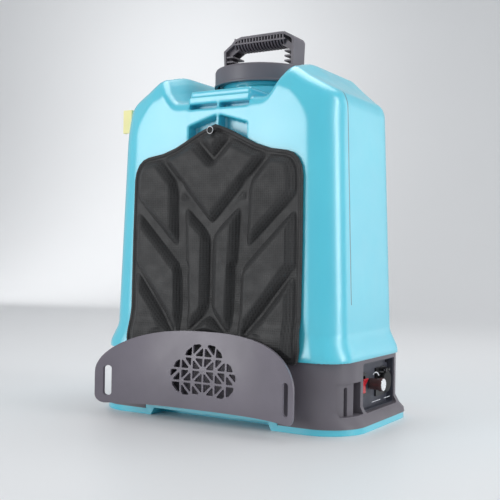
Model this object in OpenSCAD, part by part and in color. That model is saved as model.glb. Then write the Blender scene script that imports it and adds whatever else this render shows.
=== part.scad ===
// Backpack electrostatic sprayer: blow-moulded tank on an electrics base,
// with a screw lid, carry handle, back cushion and curved lumbar plate.
// X is across the wearer's back, +Y is away from the wearer, Z is up, z = 0 is the floor.

/* [Tank] */
// Half width of the tank's bottom flange
tank_hw = 190; // [188:1:194]
// Half depth of the tank's bottom flange
tank_hd = 112; // [111:1:114]
// Height of the joint between base and tank
joint_z = 89; // [87:1:92]
// Height of the shoulder ridges
ridge_z = 471; // [466:1:476]
// Wall thickness of the tank
tank_wall = 3; // [2.5:0.5:4]

/* [Base] */
// Half width of the base housing above its skirt
base_hw = 188; // [186:1:189]
// Half depth of the base housing
base_hd = 109; // [107:1:110]
// Half width of the skirt and the bottom tray
skirt_hw = 201; // [196:1:206]
// Thickness of the bottom tray
tray_t = 8; // [7:1:9]

/* [Lid and handle] */
// Radius of the lid
lid_r = 70; // [69:1:74]
// Height of the lid's skirt
lid_h = 26; // [24:1:28]
// Height of the carry handle's top
handle_z = 540; // [536:1:550]

/* [Back cushion and lumbar plate] */
// Half width of the back cushion
cushion_hw = 133; // [128:1:138]
// Height of the cushion's top point
cushion_top = 395; // [390:1:398]
// Half width of the lumbar plate
plate_hw = 153; // [151:1:158]
// Thickness of the lumbar plate
plate_t = 4; // [3:0.5:4.5]

/* [Controls] */
// Height of the speed knob's axis
knob_z = 53; // [51:1:55]
// Radius of the speed knob's grip ring
knob_r = 9; // [8:0.5:10]

/* [Hidden] */

$fn = 64;
corner_steps = 10;
eps = 0.01;
fit_gap = 0.05;
part_gap = 0.3;

tank_body_hw = 183;
tank_body_hd = 107;
tank_top_hw = 168;
tank_top_hd = 100;
tank_flare_z = 124;
tank_lip_h = 11;
corner_front = 55;
corner_back = 40;

neck_y = 20;
neck_r = 58;
neck_bore_r = 52;
neck_top = 480;
boss_top = 458;
lid_z = 463;
lid_top = lid_z + lid_h;

base_wall = 3;
deck_z = joint_z - base_wall;
deck_opening_hw = 104;
deck_opening_hd = 62;
deck_opening_r = 20;
arch_hw = 90;
arch_h = 10;
arch_depth = 30;
sill_top = 17;

window_y = [-36, 70];
window_z = [21, 84];
panel_x = 178;
panel_t = 3;
window_r = 4;
panel_lining = 1.2;
lining_x = 186.5;
pocket_y = [-89, -44];
pocket_z = [21.5, 62.5];
pocket_floor_x = 160;
pocket_rim = 2;
strap_face_t = 7;
strap_face_y = [-85, -60.5];
strap_slit_y = [-78, -72.5];
strap_slit_top = 58;

switch_y = -19;
switch_z = 54;
knob_y = 8;
socket_y = 42;
socket_z = 53;
socket_flange = [17, 19];
cap_r = 14;
hinge_rise = 16;
knob_shaft_r = 3;
rocker_rest_angle = 12;

plate_y = 124;
plate_bow = 37.7;
plate_bow_power = 2.9;
plate_crown = 7;
plate_crown_z = 52;
plate_bottom = 18;
plate_side_z = 60;
plate_peak_z = 120.5;
plate_corner_r = 12;
strap_slot_x = 138;
strap_slot_z = [28, 69];
vent_cell = [17.6, 16.5];
vent_centre_x = 3;
vent_top = 103.5;

pump_x = 60;
motor_r = 18;
motor_y = 30;
motor_z = 44;
shaft_r = 2.5;

grey = [0.40, 0.38, 0.42];
aqua = [0.45, 0.85, 0.92];
black = [0.08, 0.08, 0.09];
slate = [0.22, 0.23, 0.29];
steel = [0.75, 0.76, 0.78];
charcoal = [0.17, 0.17, 0.17];

// ---------- shared shapes ----------

// Quarter circle about (x, y), anticlockwise from the start angle
function corner_arc(x, y, r, start) = [
    for (i = [0:corner_steps])
        let (angle = start + 90 * i / corner_steps) [x + r * cos(angle), y + r * sin(angle)]
];

// Rounded rectangle with its own corner radii at the front (-Y) and back (+Y)
module plan(hw, hd, front_r, back_r) {
    polygon(concat(
        corner_arc(hw - front_r, -hd + front_r, front_r, -90),
        corner_arc(hw - back_r, hd - back_r, back_r, 0),
        corner_arc(-hw + back_r, hd - back_r, back_r, 90),
        corner_arc(-hw + front_r, -hd + front_r, front_r, 180)
    ));
}

module slab(z0, z1, hw, hd, front_r, back_r) {
    translate([0, 0, z0]) linear_extrude(z1 - z0) plan(hw, hd, front_r, back_r);
}

// Solid that tapers between two rounded rectangles
module taper(z0, hw0, hd0, z1, hw1, hd1, front_r, back_r) {
    hull() {
        slab(z0, z0 + eps, hw0, hd0, front_r, back_r);
        slab(z1 - eps, z1, hw1, hd1, front_r, back_r);
    }
}

// Box from its low corner to its high corner
module block(low, high) {
    translate(low) cube(high - low);
}

module on_both_sides() {
    children();
    mirror([1, 0, 0]) children();
}

// Whole outline from its right half, which runs from x = 0 back to x = 0
function mirrored(half) = concat(
    half,
    [for (i = [len(half) - 1:-1:0]) if (half[i][0] > 0) [-half[i][0], half[i][1]]]
);

module rod_z(pos, r, z0, z1) {
    translate([pos[0], pos[1], z0]) cylinder(r = r, h = z1 - z0);
}

module rod_x(y, z, r, x0, x1) {
    translate([x0, y, z]) rotate([0, 90, 0]) cylinder(r = r, h = x1 - x0);
}

module rod_y(x, z, r, y0, y1) {
    translate([x, y0, z]) rotate([-90, 0, 0]) cylinder(r = r, h = y1 - y0);
}

// Extrudes an outline drawn in X and Z from y0 to y1
module wall_xz(y0, y1) {
    translate([0, y1, 0]) rotate([90, 0, 0]) linear_extrude(y1 - y0) children();
}

module tube(pos, r_out, r_in, z0, z1) {
    difference() {
        rod_z(pos, r_out, z0, z1);
        rod_z(pos, r_in, z0 - 1, z1 + 1);
    }
}

// ---------- bottom tray ----------

screw_spots = [for (x = [-120, 120], y = [-80, 86]) [x, y]];
tank_screw_spots = [for (x = [-60, 60], y = [-80, 86]) [x, y]];
tray_floor = 3;

module tray_arch() {
    wall_xz(-base_hd - 40, -base_hd + arch_depth)
        polygon([
            [-arch_hw - 6, -1], [arch_hw + 6, -1], [arch_hw, arch_h],
            [-arch_hw, arch_h]
        ]);
}

module bottom_tray() {
    color(aqua) difference() {
        union() {
            slab(0, tray_t, skirt_hw, base_hd + 2, corner_front + 4, corner_back + 4);
            block([-arch_hw - 14, -base_hd - 2, 0], [arch_hw + 14, -base_hd + arch_depth + 4, sill_top]);
        }
        slab(tray_floor, tray_t + 1, skirt_hw - 18, base_hd - 42, 30, 30);
        tray_arch();
        for (spot = screw_spots) {
            rod_z(spot, 2.2, -1, tray_t + 1);
            rod_z(spot, 5, -1, tray_floor);
        }
    }
}

module tray_screws() {
    color(steel) for (spot = screw_spots) {
        rod_z(spot, 4.5, 0.6, tray_floor);
        rod_z(spot, 2, tray_floor, 22);
    }
}

// ---------- base housing ----------

// How far the skirt stands out at each height, from the tray up
skirt_steps = [[tray_t, 1], [13, 0.93], [20, 0.42], [30, 0]];

module base_outside() {
    slab(tray_t, joint_z, base_hw, base_hd, corner_front, corner_back);
    for (i = [0:2]) {
        low = skirt_steps[i];
        high = skirt_steps[i + 1];
        reach = skirt_hw - base_hw;
        taper(
            low[0], base_hw + reach * low[1], base_hd + 2 * low[1],
            high[0], base_hw + reach * high[1], base_hd + 2 * high[1], corner_front, corner_back
        );
    }
}

module base_inset(depth) {
    slab(
        tray_t, joint_z, base_hw - depth, base_hd - depth, corner_front - depth, corner_back - depth
    );
}

module side_pocket(grow) {
    block(
        [pocket_floor_x - grow, pocket_y[0] + 6 - grow, pocket_z[0] - grow],
        [skirt_hw + 20, pocket_y[1] + grow, pocket_z[1] + grow]
    );
}

// Shallow rim around the pocket's opening
module pocket_rim_cut() {
    difference() {
        block([140, pocket_y[0], pocket_z[0]], [skirt_hw + 20, pocket_y[1], pocket_z[1]]);
        base_inset(pocket_rim);
    }
}

// Face across the front of each side pocket: a slit in it leaves an upright bar for the strap to loop around
module strap_face() {
    slit_r = (strap_slit_y[1] - strap_slit_y[0]) / 2;
    difference() {
        intersection() {
            block([150, strap_face_y[0], pocket_z[0] - 1], [skirt_hw, strap_face_y[1], pocket_z[1] + 1]);
            base_inset(pocket_rim);
        }
        base_inset(pocket_rim + strap_face_t);
        block([150, strap_slit_y[0], pocket_z[0]], [skirt_hw, strap_slit_y[1], strap_slit_top - slit_r]);
        rod_x(strap_slit_y[0] + slit_r, strap_slit_top - slit_r, slit_r, 150, skirt_hw);
    }
}

// Prism along X with the window's rounded outline, grown on all sides
module panel_window(x0, x1, grow) {
    r = window_r + grow;
    y = [window_y[0] + window_r, window_y[1] - window_r];
    z = [window_z[0] + window_r, window_z[1] - window_r];
    translate([x0, 0, 0]) rotate([90, 0, 90]) linear_extrude(x1 - x0) polygon(concat(
        corner_arc(y[1], z[1], r, 0), corner_arc(y[0], z[1], r, 90),
        corner_arc(y[0], z[0], r, 180), corner_arc(y[1], z[0], r, 270)
    ));
}

module base_housing() {
    color(grey) on_both_sides() strap_face();
    color(grey) difference() {
        intersection() {
            base_outside();
            union() {
                difference() {
                    base_outside();
                    slab(
                        tray_t - 1, deck_z, base_hw - base_wall, base_hd - base_wall,
                        corner_front - base_wall, corner_back - base_wall
                    );
                }
                on_both_sides() side_pocket(base_wall);
                panel_window(panel_x - panel_t - 2, skirt_hw + 20, base_wall);
                for (spot = screw_spots) rod_z(spot, 6, tray_t, deck_z);
                lumbar_bolts(6, -base_hd, -base_hd + lumbar_boss);
            }
        }
        on_both_sides() {
            side_pocket(0);
            pocket_rim_cut();
        }
        panel_window(panel_x - panel_t - 6, skirt_hw + 20, 0.1 - window_r);
        panel_window(panel_x - panel_t, skirt_hw + 20, 0);
        block(
            [-arch_hw - 15, -base_hd - 12, tray_t - 1],
            [arch_hw + 15, -base_hd + arch_depth + 5, sill_top]
        );
        for (spot = screw_spots) rod_z(spot, 2.05, tray_t - 1, 24);
        for (spot = tank_screw_spots) rod_z(spot, 2.2, deck_z - 1, joint_z + 1);
        lumbar_bolts(2.05, -base_hd - 1, -base_hd + lumbar_boss + 1);
        slab(
            deck_z - 1, joint_z + 1, deck_opening_hw, deck_opening_hd, deck_opening_r, deck_opening_r
        );
        rod_x(spigot_y, spigot_z, 7, -base_hw - 10, -base_hw + 10);
    }
}

// ---------- control panel ----------

panel_screw_ys = [window_y[0] + 5.5, window_y[1] - 5.5];
panel_screw_z = window_z[1] - 5.5;

// Dish-shaped panel: its rim lines the window's sides
module control_panel() {
    color(slate) difference() {
        panel_window(panel_x - panel_t, lining_x, -part_gap);
        panel_window(panel_x, lining_x + 1, -part_gap - panel_lining);
        block([panel_x - 9, switch_y - 10, switch_z - 13], [panel_x + 1, switch_y + 10, switch_z + 13]);
        rod_x(knob_y, knob_z, 4, panel_x - 9, panel_x + 1);
        rod_x(socket_y, socket_z, 9, panel_x - 9, panel_x + 1);
        for (y = panel_screw_ys) rod_x(y, panel_screw_z, 1.5, panel_x - 9, panel_x + 5);
    }
}

module panel_screws() {
    color(steel) for (y = panel_screw_ys) {
        rod_x(y, panel_screw_z, 1.4, panel_x - panel_t, panel_x);
        rod_x(y, panel_screw_z, 2.8, panel_x, panel_x + 1.4);
    }
}

module switch_bezel() {
    color(black) difference() {
        union() {
            block([panel_x, switch_y - 12, switch_z - 15.5], [panel_x + 2, switch_y + 12, switch_z + 15.5]);
            block(
                [panel_x - 17, switch_y - 10 + part_gap, switch_z - 13 + part_gap],
                [panel_x, switch_y + 10 - part_gap, switch_z + 13 - part_gap]
            );
        }
        block([panel_x - 10, switch_y - 8, switch_z - 11.5], [panel_x + 3, switch_y + 8, switch_z + 11.5]);
        rod_y(panel_x - 1, switch_z, 1.55, switch_y - 9, switch_y + 9);
    }
}

// Side outline of the rocker about its pivot, in X and Z
rocker_outline = [[-4, -6], [-4, 6], [5.2, 10.2], [6.4, 9.6], [4, 0], [6.4, -9.6], [5.2, -10.2]];

module rocker() {
    color([0.82, 0.08, 0.12]) translate([panel_x - 1, 0, switch_z]) rotate([0, rocker_rest_angle, 0]) {
        wall_xz(switch_y - 7.6, switch_y + 7.6) polygon(rocker_outline);
        rod_y(0, 0, 1.5, switch_y - 8.9, switch_y + 8.9);
    }
}

module speed_pot() {
    color(steel) {
        rod_x(knob_y, knob_z, 9, panel_x - 14, panel_x - panel_t);
        rod_x(knob_y, knob_z, 3.9, panel_x - panel_t - eps, panel_x + 1);
        rod_x(knob_y, knob_z, knob_shaft_r, panel_x, panel_x + 14);
    }
}

module speed_knob() {
    color(black) difference() {
        union() {
            rod_x(knob_y, knob_z, knob_r - 1.5, panel_x + 1.5, panel_x + 16);
            rod_x(knob_y, knob_z, knob_r, panel_x + 15, panel_x + 20);
        }
        rod_x(knob_y, knob_z, knob_shaft_r + fit_gap, panel_x, panel_x + 14.5);
        rod_x(knob_y, knob_z, knob_r - 1, panel_x + 19, panel_x + 21);
    }
}

module knob_disc() {
    color([0.92, 0.93, 0.95]) rod_x(knob_y, knob_z, knob_r - 1, panel_x + 19, panel_x + 20.6);
}

module charge_socket() {
    color(black) difference() {
        union() {
            block(
                [panel_x, socket_y - socket_flange[0], socket_z - socket_flange[1]],
                [panel_x + 2.5, socket_y + socket_flange[0], socket_z + socket_flange[1]]
            );
            rod_x(socket_y, socket_z, 11.5, panel_x, panel_x + 8);
            rod_x(socket_y, socket_z, 8.5, panel_x - 12, panel_x + 1);
            for (side = [-1, 1])
                block(
                    [panel_x, socket_y + side * 6 - 1.5, socket_z + hinge_rise - 2],
                    [panel_x + 12.5, socket_y + side * 6 + 1.5, socket_z + hinge_rise + 2]
                );
        }
        rod_x(socket_y, socket_z, 5.5, panel_x - 8, panel_x + 9);
        rod_y(panel_x + 10.4, socket_z + hinge_rise, 1, socket_y - 10, socket_y + 10);
    }
}

module flap_pin() {
    color(steel) rod_y(panel_x + 10.4, socket_z + hinge_rise, 1, socket_y - 7.5, socket_y + 7.5);
}

module charge_flap() {
    color(black) difference() {
        union() {
            rod_x(socket_y, socket_z, cap_r, panel_x + 8.6, panel_x + 12);
            block(
                [panel_x + 8.6, socket_y - 4, socket_z + 8],
                [panel_x + 12, socket_y + 4, socket_z + hinge_rise]
            );
            rod_y(panel_x + 10.4, socket_z + hinge_rise, 2, socket_y - 4, socket_y + 4);
        }
        rod_y(panel_x + 10.4, socket_z + hinge_rise, 1 + fit_gap, socket_y - 5, socket_y + 5);
    }
}

// ---------- inside the base ----------

battery_y = [0, 60];
hose_r = 6;
hose_bend = 14;
port_y = motor_y - 38;
port_gap = 24;
outlet_tail_z = 77;
spigot_y = 60;
spigot_z = 45;

module battery_pack() {
    color([0.15, 0.3, 0.6]) block([-140, battery_y[0], tray_floor], [-20, battery_y[1], 72]);
}

module battery_strap() {
    color(steel) difference() {
        block([-90, battery_y[0] - 3, tray_floor], [-70, battery_y[1] + 3, 75]);
        block([-91, battery_y[0] - 0.5, tray_floor - 1], [-69, battery_y[1] + 0.5, 72.5]);
    }
}

module control_board() {
    color([0.1, 0.4, 0.2]) {
        block([100, -52, 24], [156, -50, 74]);
        block([108, -50, 50], [126, -42, 66]);
        block([132, -50, 34], [148, -38, 48]);
    }
}

module hv_module() {
    color([0.12, 0.12, 0.13]) block([10, 66, tray_t], [74, 96, 40]);
}

module pump_bracket() {
    color(steel) {
        block([pump_x - 40, motor_y - 24, tray_floor], [pump_x + 62, motor_y + 24, tray_floor + 3]);
        block([pump_x - 20, motor_y - 14, tray_floor + 3], [pump_x - 14, motor_y + 14, motor_z - 24]);
        for (x = [pump_x + 12, pump_x + 46])
            block([x, motor_y - 10, tray_floor + 3], [x + 4, motor_y + 10, motor_z - motor_r - 0.2]);
    }
}

module pump_head() {
    color(black) difference() {
        union() {
            block([pump_x - 36, motor_y - 22, motor_z - 24], [pump_x + 2, motor_y + 22, motor_z + 24]);
            for (side = [-1, 1]) rod_y(pump_x - 24, motor_z + side * port_gap / 2, 5, port_y, motor_y - 21);
        }
        rod_x(motor_y, motor_z, 12, pump_x - 30, pump_x + 3);
        for (side = [-1, 1]) rod_y(pump_x - 24, motor_z + side * port_gap / 2, 3, port_y - 1, motor_y - 20);
    }
}

module motor_can() {
    color(steel) difference() {
        rod_x(motor_y, motor_z, motor_r, pump_x + 3, pump_x + 60);
        rod_x(motor_y, motor_z, shaft_r + fit_gap, pump_x, pump_x + 52);
    }
}

// The shaft carries the eccentric that works the diaphragm
module motor_shaft() {
    color([0.8, 0.8, 0.82]) {
        rod_x(motor_y, motor_z, shaft_r, pump_x - 20, pump_x + 50);
        rod_x(motor_y, motor_z - 2.5, 8, pump_x - 24, pump_x - 8);
    }
}

// A quarter bend in the XY plane with its centre at the origin
module bend(bend_r, tube_r) {
    rotate_extrude(angle = 90) translate([bend_r, 0]) circle(r = tube_r);
}

// The hose's first stretch, from a pump port at height z round to the left
module hose_from_port(z, x_end) {
    translate([pump_x - 24 - hose_bend, port_y, z]) rotate([0, 0, -90]) bend(hose_bend, hose_r);
    rod_x(port_y - hose_bend, z, hose_r, x_end + hose_bend, pump_x - 24 - hose_bend);
    translate([x_end + hose_bend, port_y, z]) rotate([0, 0, 180]) bend(hose_bend, hose_r);
}

module suction_hose() {
    z = motor_z + port_gap / 2;
    color([0.85, 0.87, 0.88]) {
        hose_from_port(z, 0);
        rod_y(0, z, hose_r, port_y, neck_y - hose_bend);
        translate([0, neck_y - hose_bend, z + hose_bend]) rotate([90, 0, 90]) rotate([0, 0, -90])
            bend(hose_bend, hose_r);
        rod_z([0, neck_y], hose_r, z + hose_bend, outlet_tail_z);
    }
}

module delivery_hose() {
    z = motor_z - port_gap / 2;
    color([0.1, 0.1, 0.1]) {
        hose_from_port(z, -171);
        rod_y(-171, z, hose_r, port_y, spigot_y - 7);
    }
}

module outlet_spigot() {
    color(black) {
        rod_x(spigot_y, spigot_z, 10, -base_hw - 3, -base_hw);
        rod_x(spigot_y, spigot_z, 6.8, -base_hw, -base_hw + 6);
        rod_x(spigot_y, spigot_z, 5, -skirt_hw, -base_hw - 3);
        block([-base_hw + 6, spigot_y - 7, spigot_z - 19], [-base_hw + 24, spigot_y + 7, spigot_z + 7]);
    }
}

// ---------- tank ----------

// Right half of the shoulder line, from the valley out to the side
shoulder_line = [
    [0, 446], [50, 446], [62, 437], [72, 446], [86, ridge_z - 5], [98, ridge_z],
    [112, ridge_z - 2], [140, ridge_z - 14], [160, ridge_z - 30], [172, ridge_z - 50]
];

module shoulder_outline(drop) {
    points = [for (p = shoulder_line) [p[0], p[1] - drop]];
    side = [[skirt_hw, ridge_z - 60 - drop], [skirt_hw, joint_z], [0, joint_z]];
    polygon(mirrored(concat(points, side)));
}

module tank_body(inset) {
    intersection() {
        taper(
            tank_flare_z - 10, tank_body_hw - inset, tank_body_hd - inset, ridge_z + 10,
            tank_top_hw - inset, tank_top_hd - inset, corner_front - inset, corner_back - inset
        );
        wall_xz(-tank_hd, tank_hd) shoulder_outline(inset);
    }
}

module tank_foot(inset) {
    slab(
        joint_z, joint_z + tank_lip_h, tank_hw - inset, tank_hd - inset,
        corner_front + 4 - inset, corner_back + 4 - inset
    );
    taper(
        joint_z + tank_lip_h, tank_hw - inset, tank_hd - inset, tank_flare_z,
        tank_body_hw - inset, tank_body_hd - inset, corner_front - inset, corner_back - inset
    );
}

strap_bar_z = [409, 419];

// Strap anchorage in the front of the tank: two slots over a gabled recess, with a bar between
module strap_recess(grow) {
    wall_xz(-tank_hd, -82 + grow) difference() {
        polygon([
            [-47 - grow, 370 - grow], [47 + grow, 370 - grow], [47 + grow, 426 + grow],
            [-47 - grow, 426 + grow]
        ]);
        if (grow == 0) {
            square([4, 900], center = true);
            polygon([
                [-60, 396], [0, strap_bar_z[0]], [60, 396], [60, strap_bar_z[1]],
                [-60, strap_bar_z[1]]
            ]);
        }
    }
}

module strap_recess_back() {
    for (side = [-1, 1])
        block([side > 0 ? 2 : -47, -92, 380], [side > 0 ? 47 : -2, -82, 426]);
}

module tank_shell() {
    color(aqua) difference() {
        union() {
            difference() {
                union() {
                    tank_body(0);
                    tank_foot(0);
                }
                difference() {
                    union() {
                        tank_body(tank_wall);
                        translate([0, 0, tank_wall]) tank_foot(tank_wall);
                    }
                    strap_recess(tank_wall);
                }
            }
            rod_z([0, neck_y], 66, 436, boss_top);
            rod_z([0, neck_y], neck_r, 436, neck_top);
            for (spot = tank_screw_spots) rod_z(spot, 6, joint_z, joint_z + 16);
        }
        rod_z([0, neck_y], neck_bore_r, 420, neck_top + 1);
        rod_z([0, neck_y], 12, joint_z - 1, joint_z + 10);
        for (spot = tank_screw_spots) rod_z(spot, 2.05, joint_z - 1, joint_z + 12);
        strap_recess(0);
        strap_recess_back();
    }
}

module tank_screws() {
    color(steel) for (spot = tank_screw_spots) {
        rod_z(spot, 2, deck_z, joint_z + 10);
        rod_z(spot, 4.5, deck_z - 2.8, deck_z);
    }
}

module tank_outlet() {
    color(black) difference() {
        union() {
            rod_z([0, neck_y], 18, joint_z + tank_wall, joint_z + 9);
            rod_z([0, neck_y], 11.5, joint_z - 2, joint_z + tank_wall + 3);
            rod_z([0, neck_y], 18, joint_z - 6, joint_z - 2);
            rod_z([0, neck_y], 5, outlet_tail_z, joint_z - 6);
        }
        rod_z([0, neck_y], 3.5, outlet_tail_z - 1, joint_z + 10);
    }
}

module suction_filter() {
    color([0.85, 0.86, 0.84]) difference() {
        rod_z([0, neck_y], 15, joint_z + 9, joint_z + 49);
        rod_z([0, neck_y], 12.5, joint_z + 8, joint_z + 46);
        for (i = [0:7]) translate([0, neck_y, joint_z + 15]) rotate([0, 0, i * 45]) cube([20, 4, 26]);
    }
}

// ---------- filler neck and lid ----------

basket_r = 49;
basket_bottom = 402;
basket_slots = 20;
basket_slot_w = 3;

module strainer_basket() {
    color([0.9, 0.9, 0.88]) difference() {
        union() {
            rod_z([0, neck_y], 57, neck_top, neck_top + 1.6);
            rod_z([0, neck_y], basket_r, basket_bottom, neck_top + 1);
        }
        rod_z([0, neck_y], basket_r - 2, basket_bottom + 2, neck_top + 3);
        for (i = [0:basket_slots - 1])
            translate([0, neck_y, basket_bottom + 8]) rotate([0, 0, i * 360 / basket_slots])
                translate([20, -basket_slot_w / 2, 0]) cube([40, basket_slot_w, 48]);
        for (x = [-36:9:36])
            block(
                [x - basket_slot_w / 2, neck_y - 26, basket_bottom - 1],
                [x + basket_slot_w / 2, neck_y + 26, basket_bottom + 3]
            );
    }
}

module lid_gasket() {
    color(black) tube([0, neck_y], 57, 51, neck_top + 2, neck_top + 5);
}

// Skirt profile of the lid, turned about its axis
lid_profile = [
    [10.3, lid_top - 3.2], [59, lid_top - 3.2], [59, lid_z + 1], [63, lid_z + 1], [63, lid_top - 3.2],
    [66.5, lid_top - 3.2], [66.5, lid_z], [lid_r + 1, lid_z], [lid_r + 1, lid_z + 2.5],
    [lid_r, lid_z + 3.5], [lid_r, lid_top - 4.5], [lid_r - 1.5, lid_top - 1.2], [lid_r - 5, lid_top],
    [10.3, lid_top]
];

module lid() {
    color(grey) difference() {
        translate([0, neck_y, 0]) rotate_extrude() polygon(lid_profile);
        for (spot = handle_screw_spots) rod_z(spot, 2.1, lid_top - 5, lid_top + 1);
    }
}

module vent_valve() {
    color(black) {
        rod_z([0, neck_y], 10.3, lid_top - 3.2, lid_top + 0.4);
        rod_z([0, neck_y], 14, lid_top - 4.4, lid_top - 3.2);
    }
}

// ---------- carry handle ----------

handle_hd = 17;
handle_band_t = 3.5;
foot_gap = 42;
grip_hl = 41;
grip_h = 20;
ridge_drop = 10.5;
fin_t = 2.2;
fin_count = 17;
handle_screw_spots = [for (side = [-1, 1], y = [-9, 9]) [side * 45.6, neck_y + y]];

// Outline of the arch from its left foot over the grip to its right foot
handle_outline = [
    [-57, lid_top], [-58.5, handle_z - 19], [-45, handle_z - 9.5], [-40, handle_z - 4], [-29, handle_z - 0.5],
    [34, handle_z], [43, handle_z - 0.5], [56, handle_z - 8], [58.5, handle_z - 13], [57, lid_top]
];

module handle_band() {
    wall_xz(neck_y - handle_hd, neck_y + handle_hd) difference() {
        polygon(handle_outline);
        offset(delta = -handle_band_t) polygon(handle_outline);
        translate([-foot_gap, lid_top - 1]) square([2 * foot_gap, handle_band_t + 2]);
    }
}

// Half profile of the grip across its length, in Y and Z, from its front face to its underside
grip_profile = [
    [-handle_hd + 0.8, -2], [-handle_hd + 0.8, -ridge_drop], [-handle_hd + 3.5, -ridge_drop - 5],
    [-handle_hd + 8, -grip_h + 1], [-handle_hd + 11, -grip_h]
];

module grip_section(inset) {
    half = [for (p = grip_profile) [p[0] + inset, p[1] + (p[1] < -3 ? inset * 0.6 : -inset * 0.3)]];
    translate([0, handle_z]) polygon(mirrored([for (p = half) [-p[0], p[1]]]));
}

module along_x(x0, x1) {
    translate([x0, neck_y, 0]) rotate([90, 0, 90]) linear_extrude(x1 - x0) children();
}

module handle_grip() {
    along_x(-grip_hl, grip_hl) grip_section(5);
    pitch = (2 * grip_hl - fin_t) / (fin_count - 1);
    for (i = [0:fin_count - 1]) {
        x = -grip_hl + i * pitch;
        along_x(x, x + fin_t) grip_section(0);
    }
    for (side = [-1, 1])
        block(
            [-grip_hl - 3, neck_y + side * (handle_hd - 2.5) - 2.5, handle_z - ridge_drop - 1],
            [grip_hl + 3, neck_y + side * (handle_hd - 2.5) + 2.5, handle_z - ridge_drop + 1.2]
        );
}

module handle_leg_ribs() {
    on_both_sides() {
        for (z = [lid_top + 8, lid_top + 15, lid_top + 22])
            block([43, neck_y - handle_hd + 1, z], [55, neck_y + handle_hd - 1, z + 2.2]);
        for (y = [-9, 9])
            wall_xz(neck_y + y - 1.5, neck_y + y + 1.5) polygon([
                [54, lid_top + 1], [55, handle_z - 20], [grip_hl, handle_z - 8],
                [grip_hl - 5, handle_z - grip_h + 2], [51, handle_z - 27], [51, lid_top + 1]
            ]);
    }
}

module carry_handle() {
    color(grey) difference() {
        union() {
            handle_band();
            handle_grip();
            handle_leg_ribs();
        }
        for (spot = handle_screw_spots) rod_z(spot, 1.9, lid_top - 1, lid_top + 2.4);
    }
}

module handle_screws() {
    color(steel) for (spot = handle_screw_spots) {
        rod_z(spot, 1.85, lid_top - 3.2, lid_top + 2.2);
        rod_z(spot, 3.2, lid_top - 5, lid_top - 3.2);
    }
}

// ---------- wand clip ----------

clip_x = -171.5;

module wand_clip() {
    color([0.95, 0.92, 0.62]) difference() {
        block([clip_x - 13, -72, 398], [clip_x + 2.5, -46, 432]);
        block([clip_x - 10.5, -69, 397], [clip_x - 3, -49, 433]);
        block([clip_x - 14, -65, 397], [clip_x - 9, -53, 433]);
    }
}

// ---------- back cushion ----------

// Half outline of the cushion from the top point down to the bottom
cushion_line = [
    [0, cushion_top], [18, cushion_top - 5], [44, cushion_top - 16], [64, cushion_top - 27],
    [85, cushion_top - 34], [110, cushion_top - 38], [124, cushion_top - 46],
    [cushion_hw - 1, cushion_top - 65], [cushion_hw, 128], [cushion_hw + 2, 104],
    [cushion_hw - 1, 85], [0, 85]
];
cushion_back_y = 107.6;
cushion_front_y = 116;
cushion_step_z = 127;

module back_cushion() {
    color(charcoal) difference() {
        wall_xz(-cushion_front_y, -cushion_back_y) polygon(mirrored(cushion_line));
        block([-200, -tank_hd - 0.4, 80], [200, -100, cushion_step_z]);
        rod_y(0, cushion_top - 9, 2.6, -cushion_front_y - 1, -100);
    }
}

module cushion_button() {
    color(steel) {
        rod_y(0, cushion_top - 9, 5, -cushion_front_y - 2, -cushion_front_y);
        rod_y(0, cushion_top - 9, 2.5, -cushion_front_y, -cushion_back_y);
    }
}

// ---------- lumbar plate ----------

// Front face of the plate: bowed round the wearer's waist, and crowned from bottom to top between its ends
function bow(x) = -plate_y - plate_bow * pow(abs(x) / plate_hw, plate_bow_power);
function crown_rise(z) = (z - plate_crown_z) / (plate_peak_z - plate_crown_z);
function crown(x, z) = plate_crown * (1 - pow(x / plate_hw, 2)) * (1 - pow(crown_rise(z), 2));
function plate_front(x, z) = bow(x) - crown(x, z);

grid_xs = [for (i = [-24:24]) 1.02 * i * plate_hw / 24];
grid_zs = [for (i = [0:10]) 10 + 12 * i];

// Solid between the plate's face, moved back, and a second face, moved back further or flat
module bowed_solid(shift, back_shift, flat_back) {
    nx = len(grid_xs);
    nz = len(grid_zs);
    front = [for (z = grid_zs, x = grid_xs) [x, plate_front(x, z) + shift, z]];
    back = [
        for (z = grid_zs, x = grid_xs) [x, flat_back ? back_shift : plate_front(x, z) + back_shift, z]
    ];
    n = nx * nz;
    faces = concat(
        [for (j = [0:nz - 2], i = [0:nx - 2]) let (a = j * nx + i) each [
            [a, a + nx, a + nx + 1], [a, a + nx + 1, a + 1],
            [n + a, n + a + nx + 1, n + a + nx], [n + a, n + a + 1, n + a + nx + 1]
        ]],
        [for (j = [0:nz - 2], i = [0, nx - 1]) let (a = j * nx + i, b = a + nx)
            i == 0 ? [a, n + a, n + b, b] : [a, b, n + b, n + a]],
        [for (i = [0:nx - 2], j = [0, nz - 1]) let (a = j * nx + i, b = a + 1)
            j == 0 ? [a, b, n + b, n + a] : [a, n + a, n + b, b]]
    );
    polyhedron(concat(front, back), faces);
}

// Half outline of the plate from the bottom centre round to the top centre
plate_line = concat(
    [[0, plate_bottom]],
    corner_arc(plate_hw - plate_corner_r, plate_bottom + plate_corner_r, plate_corner_r, -90),
    [for (a = [0:5:90]) [
        plate_hw * pow(cos(a), 0.8), plate_side_z + (plate_peak_z - plate_side_z) * sin(a)
    ]]
);

// One opening of the vent pattern, drawn smaller than its half cell to leave the bars
module vent_opening(points) {
    offset(r = 1.3, $fn = 16) offset(delta = -2.6) polygon(points);
}

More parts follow.
